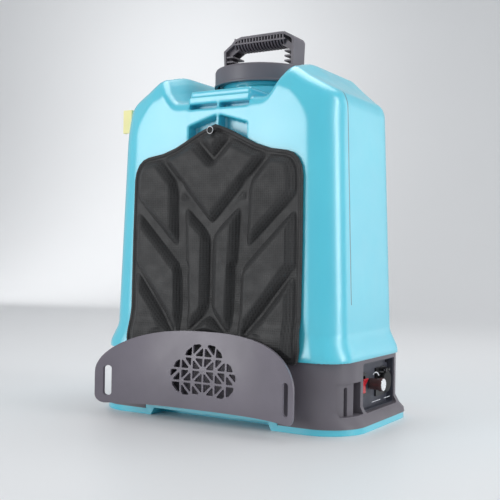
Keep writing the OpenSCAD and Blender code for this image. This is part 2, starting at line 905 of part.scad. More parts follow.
// Vent openings right of the middle, as [column, row from the top, corners of the half cell]
vent_openings = [
    [0, 0, [[0, 0], [1, 0], [0, 1]]], [0, 0, [[0.42, 1.12], [1.08, 1.02], [1, 0], [0.86, 0.14], [0.1, 0.95]]],
    [1, 0, [[0, 0], [0.8, 0], [0.6, 0.5], [0, 1]]],
    [0, 1, [[0, 0], [1, 1], [0, 1]]], [0, 1, [[0, 0], [1, 0], [1, 1]]],
    [1, 1, [[0, 0], [0.86, 1], [0, 1]]], [1, 1, [[0, 0], [1, 0], [1, 1]]],
    [2, 1, [[0, 0], [0.8, 0], [0.5, 0.6], [0, 0.9]]],
    [0, 2, [[0, 0], [1, 0], [0, 1]]], [0, 2, [[1, 0], [1, 1], [0, 1]]],
    [1, 2, [[0, 0], [1, 0], [0, 1]]], [1, 2, [[1, 0], [1, 1], [0, 1]]],
    [2, 2, [[0, 0], [0.92, 0], [0, 1]]], [2, 2, [[1, 0.1], [0.96, 0.9], [0.75, 1], [0, 1]]],
    [0, 3, [[0, 0], [1, 1], [0, 1]]], [0, 3, [[0.08, 0], [1, 0], [1, 1]]],
    [1, 3, [[0, -0.06], [1, 1], [0, 1]]], [1, 3, [[0, -0.1], [0.8, -0.14], [1, 0.1], [1, 1]]],
    [2, 3, [[0, 0], [0.35, 0.1], [0.8, 0.6], [0.85, 1], [0, 1]]]
];

module vent_holes() {
    translate([vent_centre_x, vent_top]) on_both_sides() for (opening = vent_openings)
        vent_opening([
            for (p = opening[2]) [(opening[0] + p[0]) * vent_cell[0], (p[1] - opening[1] - 1) * vent_cell[1]]
        ]);
}

module strap_slot_holes() {
    on_both_sides() hull() {
        for (z = [strap_slot_z[0] + 4, strap_slot_z[1] - 4])
            translate([strap_slot_x, z]) scale([1.3, 1]) circle(r = 4, $fn = 24);
    }
}

module lumbar_plate() {
    color(grey) difference() {
        intersection() {
            bowed_solid(0, plate_t, false);
            wall_xz(-200, -100) polygon(mirrored(plate_line));
        }
        wall_xz(-200, -100) vent_holes();
        wall_xz(-200, -100) strap_slot_holes();
        for (z = bracket_zs) lumbar_bolt_pair(z, 2.1, plate_front(bracket_x, z) + lumbar_skin, -base_hd);
    }
}

bracket_x = 92;
bracket_zs = [42, 70];
lumbar_boss = 10;
lumbar_skin = 1.4;

module lumbar_bolt_pair(z, r, y0, y1) {
    on_both_sides() rod_y(bracket_x, z, r, y0, y1);
}

module lumbar_bolts(r, y0, y1) {
    for (z = bracket_zs) lumbar_bolt_pair(z, r, y0, y1);
}

module lumbar_brackets() {
    color(grey) difference() {
        on_both_sides() intersection() {
            block([bracket_x - 12, -160, skirt_steps[3][0] + 1], [bracket_x + 12, -base_hd, 80]);
            bowed_solid(plate_t + 0.4, -base_hd, true);
        }
        lumbar_bolts(2.1, -150, -base_hd + 1);
    }
}

// Driven from inside the base, so no head shows on the plate
module lumbar_screws() {
    color(steel) {
        for (z = bracket_zs)
            lumbar_bolt_pair(z, 2, plate_front(bracket_x, z) + lumbar_skin + 0.2, -base_hd + lumbar_boss + 1);
        lumbar_bolts(4.2, -base_hd + lumbar_boss, -base_hd + lumbar_boss + 2);
    }
}

// ---------- what is drawn ----------

bottom_tray();
tray_screws();
base_housing();
control_panel();
panel_screws();
switch_bezel();
rocker();
speed_pot();
speed_knob();
knob_disc();
charge_socket();
charge_flap();
flap_pin();
battery_pack();
battery_strap();
control_board();
hv_module();
pump_bracket();
pump_head();
motor_can();
motor_shaft();
suction_hose();
delivery_hose();
outlet_spigot();
tank_shell();
tank_screws();
tank_outlet();
suction_filter();
strainer_basket();
lid_gasket();
lid();
vent_valve();
carry_handle();
handle_screws();
wand_clip();
back_cushion();
cushion_button();
lumbar_plate();
lumbar_brackets();
lumbar_screws();
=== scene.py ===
"""Looks of the backpack sprayer: sculpted tank and cushion, finishes for the CAD pieces, studio and camera.

Lengths are in millimetres until a mesh is made. X is across the wearer's back, -Y faces the wearer, Z is up.
"""

import math

import bpy
import numpy as np
from mathutils import Matrix, Vector


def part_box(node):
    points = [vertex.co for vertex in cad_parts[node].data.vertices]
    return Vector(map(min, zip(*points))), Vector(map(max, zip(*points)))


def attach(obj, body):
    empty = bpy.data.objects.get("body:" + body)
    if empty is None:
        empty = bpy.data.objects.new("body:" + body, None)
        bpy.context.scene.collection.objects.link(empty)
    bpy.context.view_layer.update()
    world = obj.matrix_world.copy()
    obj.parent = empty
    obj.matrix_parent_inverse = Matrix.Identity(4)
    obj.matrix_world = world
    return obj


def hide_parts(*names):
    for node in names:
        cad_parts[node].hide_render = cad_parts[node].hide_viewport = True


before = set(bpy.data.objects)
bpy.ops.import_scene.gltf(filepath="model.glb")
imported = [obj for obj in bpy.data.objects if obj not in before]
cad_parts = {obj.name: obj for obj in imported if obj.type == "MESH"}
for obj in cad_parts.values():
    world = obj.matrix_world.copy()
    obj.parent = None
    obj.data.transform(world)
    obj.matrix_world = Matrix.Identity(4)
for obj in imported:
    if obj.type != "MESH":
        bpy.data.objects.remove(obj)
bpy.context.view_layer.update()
MM = 0.001

# ---------------------------------------------------------------- dimensions

LID_AXIS_Y = 20.0
SMOOTH_ANGLE = math.radians(34.0)
JOINT_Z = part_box("tank_shell")[0].z / MM

TANK_STEP = 2.4
CUSHION_STEP = 1.25

# ---------------------------------------------------------------- signed-distance shapes


def smooth_max(a, b, radius):
    """Intersection of two distance fields with a fillet."""
    h = np.clip(0.5 - 0.5 * (b - a) / radius, 0.0, 1.0)
    return b + (a - b) * h + radius * h * (1.0 - h)


def smooth_min(a, b, radius):
    """Union of two distance fields with a fillet."""
    return -smooth_max(-a, -b, radius)


def round_max(a, b, radius):
    """Intersection of two distance fields with a circular edge."""
    corner = np.hypot(np.maximum(a + radius, 0.0), np.maximum(b + radius, 0.0))
    return np.minimum(np.maximum(a, b), -radius) + corner


def smooth_step(low, high, x):
    """Rises smoothly from 0 at low to 1 at high."""
    t = np.clip((x - low) / (high - low), 0.0, 1.0)
    return t * t * (3.0 - 2.0 * t)


def box_field(x, y, z, low, high, rounding=0.0):
    """Distance to a box between two corners."""
    centre = [(a + b) / 2.0 for a, b in zip(low, high)]
    half = [(b - a) / 2.0 - rounding for a, b in zip(low, high)]
    q = [np.abs(v - c) - h for v, c, h in zip((x, y, z), centre, half)]
    outside = np.sqrt(sum(np.maximum(v, 0.0) ** 2 for v in q))
    return outside + np.minimum(np.maximum(q[0], np.maximum(q[1], q[2])), 0.0) - rounding


def segment_distance(x, z, start, end):
    """Distance in the XZ plane to the segment from start to end."""
    (x0, z0), (x1, z1) = start, end
    dx, dz = x1 - x0, z1 - z0
    t = np.clip(((x - x0) * dx + (z - z0) * dz) / (dx * dx + dz * dz), 0.0, 1.0)
    return np.hypot(x - x0 - t * dx, z - z0 - t * dz)


def polygon_distance(x, z, points):
    """Signed distance in the XZ plane to a closed outline, negative inside."""
    distance = np.full(np.broadcast(x, z).shape, 1e9)
    inside = np.zeros(distance.shape, bool)
    for (x0, z0), (x1, z1) in zip(points, points[1:] + points[:1]):
        distance = np.minimum(distance, segment_distance(x, z, (x0, z0), (x1, z1)))
        if z0 != z1:
            crossing = x0 + (z - z0) * (x1 - x0) / (z1 - z0)
            inside ^= ((z0 > z) != (z1 > z)) & (x < crossing)
    return np.where(inside, -distance, distance)


def crossings(value, axis):
    """Grid edges along one axis that the surface crosses: places, crossing points, and if they face out."""
    first = [slice(None)] * 3
    second = [slice(None)] * 3
    first[axis], second[axis] = slice(None, -1), slice(1, None)
    near, far = value[tuple(first)], value[tuple(second)]
    crosses = (near < 0.0) != (far < 0.0)
    place = list(np.nonzero(crosses))
    a, b = near[crosses], far[crosses]
    point = np.stack(place, 1).astype(float)
    point[:, axis] += a / (a - b)
    return place, point, a < 0.0


def add_to_cells(total, count, place, point, across):
    """Adds each crossing point to the four cells around its grid edge."""
    for du in (0, 1):
        for dv in (0, 1):
            cell = list(place)
            cell[across[0]] = cell[across[0]] - du
            cell[across[1]] = cell[across[1]] - dv
            fits = np.all([(c >= 0) & (c < n) for c, n in zip(cell, count.shape)], axis=0)
            where = tuple(c[fits] for c in cell)
            np.add.at(total, where, point[fits])
            np.add.at(count, where, 1.0)


def crossing_quads(index, place, outward, across, axis):
    """One quad for each crossed grid edge, through its four cells, facing outward."""
    u, v = across
    shape = index.shape
    fits = (place[u] >= 1) & (place[v] >= 1) & (place[u] < shape[u]) & (place[v] < shape[v])
    corners = []
    for du, dv in ((1, 1), (0, 1), (0, 0), (1, 0)):
        shifted = [c[fits] for c in place]
        shifted[u] = shifted[u] - du
        shifted[v] = shifted[v] - dv
        corners.append(index[tuple(shifted)])
    quads = np.stack(corners, 1)
    faces_out = outward[fits] if axis != 1 else ~outward[fits]
    quads[~faces_out] = quads[~faces_out][:, ::-1]
    return quads


def surface_nets(field, low, high, step):
    """Quads on the zero level of field, with their corners then moved onto it."""
    axes = [np.arange(a, b + step, step) for a, b in zip(low, high)]
    value = field(*np.meshgrid(*axes, indexing="ij", sparse=True))
    shape = tuple(n - 1 for n in value.shape)
    index = np.arange(int(np.prod(shape))).reshape(shape)
    total = np.zeros(shape + (3,))
    count = np.zeros(shape)
    faces = []
    for axis in range(3):
        across = [n for n in range(3) if n != axis]
        place, point, outward = crossings(value, axis)
        add_to_cells(total, count, place, point, across)
        faces.append(crossing_quads(index, place, outward, across, axis))
    used = count > 0
    renumber = np.full(shape, -1)
    renumber[used] = np.arange(int(used.sum()))
    points = total[used] / count[used][:, None] * step + np.array(low)
    quads = renumber.ravel()[np.concatenate(faces)]
    return settle(field, points, step), quads


def settle(field, points, step, rounds=3):
    """Moves points along the field's slope onto its zero level."""
    nudge = step * 0.05
    for _ in range(rounds):
        value = field(*points.T)
        slope = np.empty_like(points)
        for axis in range(3):
            ahead = points.copy()
            ahead[:, axis] += nudge
            slope[:, axis] = (field(*ahead.T) - value) / nudge
        scale = value / np.maximum((slope**2).sum(1), 0.2)
        points = points - np.clip(scale, -step, step)[:, None] * slope
    return points


def mesh_object(name, points, faces, smooth_angle=math.radians(32)):
    """A mesh object in metres from points in millimetres."""
    mesh = bpy.data.meshes.new(name)
    mesh.from_pydata((np.asarray(points) * MM).tolist(), [], [list(map(int, f)) for f in faces])
    mesh.validate()
    mesh.shade_smooth()
    mesh.set_sharp_from_angle(angle=smooth_angle)
    obj = bpy.data.objects.new(name, mesh)
    bpy.context.scene.collection.objects.link(obj)
    return obj


# ---------------------------------------------------------------- tank

LIP_HW, LIP_HD = 190.0, 112.0
LIP_TOP_Z, FLARE_Z = 91.0, 126.0
BODY_HW, BODY_HD = 180.5, 105.0
TOP_HW, TOP_HD = 169.5, 100.5
TOP_Z = 445.0
SHOULDER = [
    (0.0, 430.5), (66.0, 430.5), (72.0, 432.0), (77.0, 435.5), (84.0, 444.0), (92.0, 456.0), (98.0, 463.0),
    (103.0, 466.0), (110.0, 464.0), (127.0, 453.0), (155.0, 438.5), (165.0, 434.5), (173.0, 425.0),
    (185.0, 400.0),
]
CROWN = 15.0
FRONT_CORNER_R, BACK_CORNER_R = 26.0, 42.0
CREASE_AT = 0.8
CREASE_R = 30.0
CREASE_DROP = 30.0
CREASE_SLOPE = 0.33
TOP_EDGE_R = 13.0
PLATFORM_HW, PLATFORM_Z = 48.0, 444.0
LEDGE_Z = 435.0
BOSS_R, BOSS_Z = 64.5, 457.0
NECK_R, NECK_Z = 58.0, 480.0
NECK_BORE_R, NECK_BORE_Z = 52.0, 432.0


def shoulder_line(x):
    """Height of the tank's top edge at the front, from the valley out to the side."""
    return np.interp(x, *zip(*SHOULDER))


def shoulder_height(x, y):
    """Height of the tank's top over a point, without the neck's platform."""
    across = smooth_step(60.0, 92.0, x) * (1.0 - smooth_step(96.0, 158.0, x))
    return shoulder_line(x) + CROWN * smooth_step(-100.0, -20.0, y) * across


def wall_half(z, at_lip, at_body, at_top):
    """Half width or depth of the tank's walls at a height."""
    rise = np.maximum((z - FLARE_Z) / (TOP_Z - FLARE_Z), 0.0)
    flare = 1.0 - smooth_step(LIP_TOP_Z, FLARE_Z, z)
    return at_body + (at_top - at_body) * rise + (at_lip - at_body) * flare


def front_setback(x, z, half_x):
    """How far the front leans back outside the flat panel that its soft crease bounds."""
    past_side = x - CREASE_AT * half_x
    past_top = z - shoulder_line(x) + CREASE_DROP * smooth_step(80.0, 105.0, x)
    outside = np.hypot(np.maximum(past_side + CREASE_R, 0.0), np.maximum(past_top + CREASE_R, 0.0)) - CREASE_R
    return CREASE_SLOPE * 0.5 * (outside + np.hypot(outside, 3.0))


def tank_field(x, y, z):
    """Distance field of the blow-moulded tank."""
    x = np.abs(x)
    half_x = wall_half(z, LIP_HW, BODY_HW, TOP_HW)
    half_y = wall_half(z, LIP_HD, BODY_HD, TOP_HD)
    side = x - half_x
    front = (front_setback(x, z, half_x) - y - half_y) * 0.95
    front_walls = round_max(side, front, FRONT_CORNER_R)
    walls = np.where(y < 0.0, front_walls, round_max(side, y - half_y, BACK_CORNER_R))
    top = (z - shoulder_height(x, y)) * 0.86
    body = np.maximum(round_max(walls, top, TOP_EDGE_R), JOINT_Z - z)
    front_y = -half_front(430.0)
    platform = box_field(x, y, z, (-PLATFORM_HW, front_y + 5.0, 300.0), (PLATFORM_HW, 96.0, PLATFORM_Z), 3.0)
    ledge = box_field(x, y, z, (-PLATFORM_HW, front_y + 0.5, 300.0), (PLATFORM_HW, 96.0, LEDGE_Z), 2.0)
    body = smooth_min(body, smooth_min(platform, ledge, 1.5), 2.0)
    from_axis = np.hypot(x, y - LID_AXIS_Y)
    boss = np.maximum(from_axis - BOSS_R, z - BOSS_Z)
    neck = np.maximum(from_axis - NECK_R, z - NECK_Z)
    body = smooth_min(body, np.maximum(np.minimum(boss, neck), 400.0 - z), 3.0)
    body = smooth_max(body, -np.maximum(from_axis - NECK_BORE_R, NECK_BORE_Z - z), 1.0)
    return smooth_max(body, -strap_recess_field(x, y, z), 3.2)


def half_front(z):
    """Half depth of the tank at a height, so also how far its front stands out."""
    return wall_half(z, LIP_HD, BODY_HD, TOP_HD)


def strap_recess_field(x, y, z):
    """Hollows for the shoulder straps: a slot over a gabled recess on each side of the middle rib."""
    slot = box_field(x, y, z, (2.2, -130.0, 419.0), (47.0, -83.0, 425.5), 1.2)
    roof = 409.5 - 14.0 * np.abs(x) / 47.0
    gable = box_field(x, y, z, (2.2, -130.0, 372.0), (46.0, -83.0, 420.0), 1.2)
    return np.minimum(slot, smooth_max(gable, (z - roof) * 0.96, 2.4))


def make_tank(material):
    """The tank's moulding, in place of the CAD tank."""
    low = (-194.0, -116.0, JOINT_Z - 4.0)
    high = (194.0, 116.0, 484.0)
    points, quads = surface_nets(tank_field, low, high, TANK_STEP)
    tank = mesh_object("tank_moulding", points, quads, math.radians(50))
    tank.data.materials.append(material)
    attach(tank, "sprayer")
    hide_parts("tank_shell")
    return tank


# ---------------------------------------------------------------- cushion

CUSHION_OUTLINE = [
    (0.0, 396.0), (13.0, 391.5), (24.0, 387.0), (44.0, 377.0), (64.0, 367.0), (85.0, 360.0), (110.0, 356.0),
    (119.0, 352.5), (126.0, 346.0), (131.0, 336.0), (133.0, 324.0), (134.0, 240.0), (134.0, 128.0),
    (136.0, 104.0), (134.0, 88.0), (128.0, 85.0),
]
CHANNELS = [
    ((22.0, 371.0), (0.0, 349.0)),
    ((80.0, 346.0), (0.0, 258.0)),
    ((54.0, 315.0), (51.0, 224.0)),
    ((124.0, 293.0), (51.0, 223.0)),
    ((0.0, 258.0), (0.0, 146.0)),
    ((43.0, 290.0), (0.0, 251.0)),
    ((47.0, 285.0), (38.0, 122.0)),
    ((0.0, 146.0), (29.0, 119.0)),
    ((122.0, 284.0), (43.0, 203.0)),
    ((43.0, 203.0), (42.0, 120.0)),
    ((122.0, 200.0), (58.0, 120.0)),
]
CUSHION_BACK_LOW_Y = -112.6
CUSHION_EDGE_T = 4.0
CUSHION_PUFF = 10.5
PUFF_WIDTH = 13.5
CHANNEL_HALF = 1.5
WELD_LEVEL = 0.14
EDGE_WELD = 7.5
PIPING_R = 2.6
PLATE_TOP_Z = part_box("lumbar_plate")[1].z / MM
PLATE_BACK_Y = -118.5
PLATE_HW = 153.0
PLATE_BOW = 37.7
PLATE_BOW_POWER = 2.9


def mirrored_outline():
    """The cushion's whole outline from its right half."""
    return CUSHION_OUTLINE + [(-x, z) for x, z in reversed(CUSHION_OUTLINE) if x > 0.0]


def cushion_back(z):
    """The cushion's back lies on the tank's front and bends out over the tank's flare."""
    above = -half_front(np.maximum(z, FLARE_Z)) - 0.8
    return CUSHION_BACK_LOW_Y + (above - CUSHION_BACK_LOW_Y) * smooth_step(108.0, 150.0, z)


def rounded_rise(share):
    """Padding that swells from nothing at a seam to full height one puff width away."""
    t = np.clip(share, 0.0, 1.0)
    return 0.55 * np.sqrt(1.0 - (1.0 - t) ** 2) + 0.45 * smooth_step(0.0, 1.0, t)


def puff_height(x, z):
    """Height of the padding over the cushion's backing, and the distance in from its edge."""
    x = np.abs(x)
    edge = -polygon_distance(x, z, mirrored_outline())
    soft = rounded_rise((edge - EDGE_WELD) / PUFF_WIDTH)
    for start, end in CHANNELS:
        soft = soft * rounded_rise((segment_distance(x, z, start, end) - CHANNEL_HALF) / PUFF_WIDTH)
    soft = np.clip((soft - WELD_LEVEL) / (1.0 - WELD_LEVEL), 0.0, 1.0)
    piping = PIPING_R * 0.6 * np.sqrt(np.clip(1.0 - ((edge - PIPING_R) / PIPING_R) ** 2, 0.0, 1.0))
    return CUSHION_PUFF * soft + piping, edge


def cushion_field(x, y, z):
    """Distance field of the moulded cushion."""
    rise, edge = puff_height(x, z)
    back = cushion_back(z)
    behind_plate = PLATE_BACK_Y - PLATE_BOW * (np.abs(x) / PLATE_HW) ** PLATE_BOW_POWER
    room = back - CUSHION_EDGE_T - behind_plate + np.maximum(z - PLATE_TOP_Z, 0.0)
    front = back - CUSHION_EDGE_T - np.minimum(rise, np.maximum(room, 0.0))
    slab = np.maximum((front - y) * 0.8, y - back)
    return smooth_max(slab, -edge, 2.5)


def make_cushion(material):
    """The padded cushion, in place of the CAD cushion."""
    low = (-139.0, -128.0, 82.0)
    high = (139.0, -103.0, 399.0)
    points, quads = surface_nets(cushion_field, low, high, CUSHION_STEP)
    cushion = mesh_object("cushion_pad", points, quads, math.radians(60))
    cushion.data.materials.append(material)
    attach(cushion, "sprayer")
    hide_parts("back_cushion")
    return cushion


EYELET_WIRE_R = 0.4
EYELET_STEPS = 40
EYELET_WIRE_STEPS = 10


def make_eyelet_edge(material):
    """Rolled metal edge of the eyelet at the cushion's top."""
    low, high = (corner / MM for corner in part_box("cushion_button"))
    centre = (low + high) / 2.0
    radius = (high.x - low.x) / 2.0 - EYELET_WIRE_R
    points, faces = [], []
    for i in range(EYELET_STEPS):
        around = 2.0 * math.pi * i / EYELET_STEPS
        here = i * EYELET_WIRE_STEPS
        beyond = (i + 1) % EYELET_STEPS * EYELET_WIRE_STEPS
        for j in range(EYELET_WIRE_STEPS):
            section = 2.0 * math.pi * j / EYELET_WIRE_STEPS
            reach = radius + EYELET_WIRE_R * math.cos(section)
            y = low.y + EYELET_WIRE_R * math.sin(section)
            points.append((centre.x + reach * math.cos(around), y, centre.z + reach * math.sin(around)))
            k = (j + 1) % EYELET_WIRE_STEPS
            faces.append([here + j, beyond + j, beyond + k, here + k])
    edge = mesh_object("eyelet_edge", points, faces, math.radians(60))
    edge.data.materials.append(material)
    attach(edge, "sprayer")
    return edge


# ---------------------------------------------------------------- materials


class Nodes:
    """Short way to build one material's node tree."""

    def __init__(self, name):
        self.material = bpy.data.materials.new(name)
        self.material.use_nodes = True
        self.tree = self.material.node_tree
        self.shader = self.tree.nodes["Principled BSDF"]
        self.coords = self.add("ShaderNodeTexCoord").outputs["Object"]

    def add(self, kind, **settings):
        node = self.tree.nodes.new(kind)
        for key, value in settings.items():
            setattr(node, key, value)
        return node

    def link(self, source, target):
        self.tree.links.new(source, target)

    def noise(self, scale, detail=3.0):
        """Noise from 0 to 1, in cells per metre."""
        node = self.add("ShaderNodeTexNoise")
        node.inputs["Scale"].default_value = scale
        node.inputs["Detail"].default_value = detail
        self.link(self.coords, node.inputs["Vector"])
        return node.outputs["Fac"]

    def span(self, value, low, high, out_low, out_high):
        """Maps low..high onto out_low..out_high."""
        node = self.add("ShaderNodeMapRange")
        for key, number in (("From Min", low), ("From Max", high), ("To Min", out_low), ("To Max", out_high)):
            node.inputs[key].default_value = number
        self.link(value, node.inputs["Value"])
        return node.outputs["Result"]

    def math(self, operation, a, b=None):
        node = self.add("ShaderNodeMath", operation=operation)
        for socket, value in zip(node.inputs, (a, b)):
            if value is None:
                continue
            if isinstance(value, (int, float)):
                socket.default_value = value
            else:
                self.link(value, socket)
        return node.outputs["Value"]

    def mix(self, factor, a, b):
        """Colour from a to b; each may be a number, a colour or a socket."""
        node = self.add("ShaderNodeMix", data_type="RGBA")
        for socket, value in ((node.inputs["Factor"], factor), (node.inputs[6], a), (node.inputs[7], b)):
            if isinstance(value, (int, float)):
                socket.default_value = value
            elif isinstance(value, tuple):
                socket.default_value = (*value, 1.0)
            else:
                self.link(value, socket)
        return node.outputs[2]

    def bump(self, height, strength, distance, normal=None):
        """Normal raised by a height, on top of another normal if one is given."""
        node = self.add("ShaderNodeBump")
        node.inputs["Strength"].default_value = strength
        node.inputs["Distance"].default_value = distance
        self.link(height, node.inputs["Height"])
        if normal:
            self.link(normal, node.inputs["Normal"])
        return node.outputs["Normal"]

    def separate(self):
        """The X, Y and Z of the object's own coordinates, in metres."""
        node = self.add("ShaderNodeSeparateXYZ")
        self.link(self.coords, node.inputs["Vector"])
        return node.outputs["X"], node.outputs["Y"], node.outputs["Z"]

    def set(self, **values):
        """Sets the shader's inputs, named with _ for each space."""
        for key, value in values.items():
            socket = self.shader.inputs[key.replace("_", " ")]
            if isinstance(value, (int, float)):
                socket.default_value = value
            elif isinstance(value, tuple):
                socket.default_value = (*value, 1.0)[: len(socket.default_value)]
            else:
                self.link(value, socket)


def moulded_plastic(name, colour, roughness, grain=0.06):
    """Injection-moulded plastic: fine grain, faint blotches and slightly uneven gloss."""
    m = Nodes(name)
    blotch = m.noise(14.0, 4.0)
    darker = tuple(c * 0.9 for c in colour)
    lighter = tuple(min(c * 1.08 + 0.004, 1.0) for c in colour)
    base = m.mix(m.span(blotch, 0.3, 0.7, 0.0, 1.0), darker, lighter)
    fine = m.noise(900.0, 2.0)
    broad = m.noise(35.0, 3.0)
    normal = m.bump(fine, grain, 0.0004)
    m.set(
        Base_Color=base,
        Roughness=m.span(broad, 0.3, 0.7, roughness - 0.05, roughness + 0.06),
        Normal=normal,
    )
    return m.material


SEAM_Y = 0.057
SEAM_Z = (0.160, 0.434)
SEAM_W = 0.0017
# Painted shade: dark teal laid along the side seam's line in place of the shade inside its groove.
SEAM_SHADE_COLOUR = (0.008, 0.130, 0.190)
TANK_COLOUR_LOW = (0.052, 0.570, 0.740)
TANK_COLOUR_HIGH = (0.066, 0.615, 0.775)


def tank_plastic():
    """Blow-moulded aqua polyethylene with faint flow unevenness and the moulded side seam, darkened with
    painted shade along its groove.
    """
    m = Nodes("tank_plastic")
    x, y, z = m.separate()
    from_seam = m.math("ABSOLUTE", m.math("ADD", y, SEAM_Y))
    on_side = m.math("GREATER_THAN", m.math("ABSOLUTE", x), 0.12)
    in_span = m.math("MULTIPLY", m.math("GREATER_THAN", z, SEAM_Z[0]), m.math("LESS_THAN", z, SEAM_Z[1]))
    line = m.span(from_seam, SEAM_W * 0.35, SEAM_W, 1.0, 0.0)
    seam = m.math("MULTIPLY", m.math("MULTIPLY", on_side, in_span), line)
    blotch = m.noise(7.0, 3.0)
    base = m.mix(m.span(blotch, 0.3, 0.7, 0.0, 1.0), TANK_COLOUR_LOW, TANK_COLOUR_HIGH)
    # Painted shade: the seam's line is coloured dark as the shade in its groove; the dip bump below gives its
    # real shape.
    seam_shaded_base = m.mix(seam, base, SEAM_SHADE_COLOUR)
    grain = m.bump(m.noise(650.0, 2.0), 0.05, 0.0004)
    waves = m.bump(m.noise(9.0, 2.0), 0.12, 0.002, grain)
    dip = m.bump(m.math("SUBTRACT", 1.0, seam), 0.8, 0.001, waves)
    m.set(
        Base_Color=seam_shaded_base,
        Roughness=m.span(m.noise(30.0, 3.0), 0.3, 0.7, 0.34, 0.42),
        Normal=dip,
        Subsurface_Weight=0.12,
        Subsurface_Radius=(0.004, 0.008, 0.010),
        Subsurface_Scale=0.6,
        Specular_IOR_Level=0.75,
        Coat_Weight=1.0,
        Coat_IOR=1.62,
        Coat_Roughness=0.25,
    )
    return m.material


def knit_mesh():
    """Black spacer knit: a fine staggered weave."""
    m = Nodes("knit_mesh")
    weave = m.add("ShaderNodeTexVoronoi", feature="F1")
    weave.inputs["Scale"].default_value = 330.0
    weave.inputs["Randomness"].default_value = 0.12
    m.link(m.coords, weave.inputs["Vector"])
    holes = weave.outputs["Distance"]
    fuzz = m.noise(1400.0, 2.0)
    base = m.mix(m.span(holes, 0.15, 0.55, 0.0, 1.0), (0.0035, 0.0035, 0.004), (0.022, 0.022, 0.023))
    normal = m.bump(fuzz, 0.15, 0.0003, m.bump(holes, 0.6, 0.0008))
    m.set(
        Base_Color=base,
        Roughness=m.span(m.noise(60.0, 3.0), 0.3, 0.7, 0.50, 0.66),
        Sheen_Weight=0.05,
        Sheen_Roughness=0.5,
        Normal=normal,
    )
    return m.material


def metal(name, colour, roughness):
    """Bright metal with a fine satin grain."""
    m = Nodes(name)
    marks = m.noise(420.0, 4.0)
    m.set(
        Base_Color=colour,
        Metallic=1.0,
        Roughness=m.span(marks, 0.3, 0.7, roughness - 0.06, roughness + 0.08),
        Normal=m.bump(marks, 0.08, 0.0003),
    )
    return m.material


def matte_mark():
    """Off-white printing for the panel's generic marks."""
    m = Nodes("panel_print")
    m.set(Base_Color=(0.72, 0.74, 0.78), Roughness=m.span(m.noise(300.0), 0.3, 0.7, 0.5, 0.65))
    return m.material


# ---------------------------------------------------------------- finishing the CAD pieces

WELD_M = 0.00002
FLAT_ANGLE = math.radians(0.4)
BEVEL_SEGMENTS = 3


def finish_cad(node, material, bevel_mm):
    """Gives a CAD node its material, merges its flat facets and rounds its edges."""
    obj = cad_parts[node]
    mesh = obj.data
    mesh.materials.clear()
    mesh.materials.append(material)
    stored = mesh.attributes.get("custom_normal")
    if stored:
        mesh.attributes.remove(stored)
    mesh.shade_smooth()
    weld = obj.modifiers.new("weld", "WELD")
    weld.merge_threshold = WELD_M
    flat = obj.modifiers.new("flat_faces", "DECIMATE")
    flat.decimate_type = "DISSOLVE"
    flat.angle_limit = FLAT_ANGLE
    if bevel_mm:
        bevel = obj.modifiers.new("edge_rounding", "BEVEL")
        bevel.width = bevel_mm * MM
        bevel.segments = BEVEL_SEGMENTS
        bevel.limit_method = "ANGLE"
        bevel.angle_limit = SMOOTH_ANGLE
        normals = obj.modifiers.new("even_shading", "WEIGHTED_NORMAL")
        normals.keep_sharp = True
        normals.weight = 100
    else:
        split = obj.modifiers.new("sharp_edges", "EDGE_SPLIT")
        split.split_angle = SMOOTH_ANGLE
    return obj


# ---------------------------------------------------------------- panel marks


def flat_shape(name, outline, x_front, depth, material):
    """A thin printed shape on the control panel, from an outline in Y and Z."""
    count = len(outline)
    front = [(x_front, y, z) for y, z in outline]
    back = [(x_front - depth, y, z) for y, z in outline]
    faces = [list(range(count)), list(range(2 * count - 1, count - 1, -1))]
    for i in range(count):
        j = (i + 1) % count
        faces.append([i, i + count, j + count, j])
    shape = mesh_object(name, front + back, faces)
    shape.data.materials.append(material)
    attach(shape, "sprayer")
    return shape


def arc_outline(centre, radius, width_start, width_end, start, end, steps=28):
    """Outline of an arc that grows wider along its way, in the YZ plane."""
    outer, inner = [], []
    for i in range(steps + 1):
        t = i / steps
        angle = math.radians(start + (end - start) * t)
        half = (width_start + (width_end - width_start) * t) / 2.0
        for side, reach in ((outer, radius + half), (inner, radius - half)):
            side.append((centre[0] + reach * math.cos(angle), centre[1] + reach * math.sin(angle)))
    return outer + inner[::-1]


PANEL_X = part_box("control_panel")[1].x / MM
KNOB_CENTRE = (8.0, 53.0)


def make_panel_marks(material):
    """The panel's plain marks: a sweep over the knob and two bars below."""
    face = PANEL_X + 0.15
    sweep = arc_outline(KNOB_CENTRE, 15.6, 0.8, 2.2, 124.0, 40.0)
    flat_shape("dial_arc", sweep, face, 0.15, material)
    for i, (start, end) in enumerate(((-3.5, 25.5), (38.5, 59.5))):
        outline = [(start, 30.1), (end, 30.1), (end, 30.9), (start, 30.9)]
        flat_shape(f"legend_bar_{i}", outline, face, 0.15, material)


# ---------------------------------------------------------------- build

tank_material = tank_plastic()
make_tank(tank_material)
make_cushion(knit_mesh())

grey_plastic = moulded_plastic("grey_plastic", (0.130, 0.118, 0.138), 0.46, grain=0.10)
plate_plastic = moulded_plastic("plate_plastic", (0.165, 0.150, 0.180), 0.34, grain=0.06)
black_plastic = moulded_plastic("black_plastic", (0.012, 0.012, 0.014), 0.35, grain=0.05)
slate_plastic = moulded_plastic("slate_plastic", (0.060, 0.064, 0.085), 0.5, grain=0.12)
red_plastic = moulded_plastic("red_plastic", (0.55, 0.012, 0.022), 0.22, grain=0.02)
knob_plastic = moulded_plastic("knob_plastic", (0.095, 0.055, 0.055), 0.24, grain=0.03)
yellow_plastic = moulded_plastic("yellow_plastic", (0.88, 0.82, 0.38), 0.45)
white_plastic = moulded_plastic("white_plastic", (0.78, 0.78, 0.75), 0.45)
blue_plastic = moulded_plastic("blue_plastic", (0.02, 0.08, 0.30), 0.4)
green_plastic = moulded_plastic("green_plastic", (0.02, 0.16, 0.06), 0.4)
rubber = moulded_plastic("rubber", (0.010, 0.010, 0.011), 0.72, grain=0.2)
